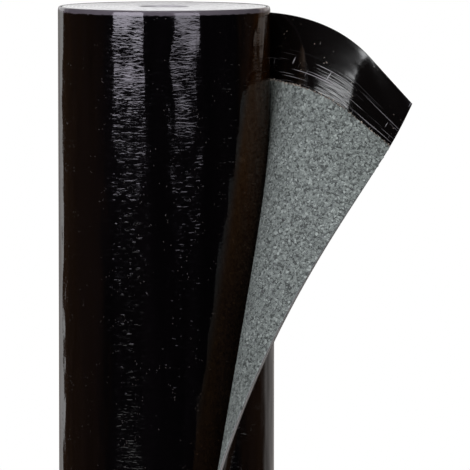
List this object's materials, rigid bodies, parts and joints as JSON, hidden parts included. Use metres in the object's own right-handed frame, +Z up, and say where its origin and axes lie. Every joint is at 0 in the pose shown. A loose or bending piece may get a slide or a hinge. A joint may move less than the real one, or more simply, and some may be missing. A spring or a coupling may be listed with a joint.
{
  "type": "roofing felt roll",
  "caption": "Roll of mineral-faced roofing felt standing on its end, wound granules inwards, with its free end peeling off at the top and curling outwards.",
  "frame": {"origin": "the roll's axis at the floor, where the bore opens on the bottom end", "axes": "+Z up the roll's axis, -Y towards the side the cut end of the felt lies on, +X towards the side the peeled corner hangs over"},
  "size_m": [0.392, 0.2833, 1],
  "materials": {
    "bitumen_felt": "glossy"
  },
  "bodies": {
    "root": {"felt_roll": "bitumen_felt"}
  },
  "joints": []
}
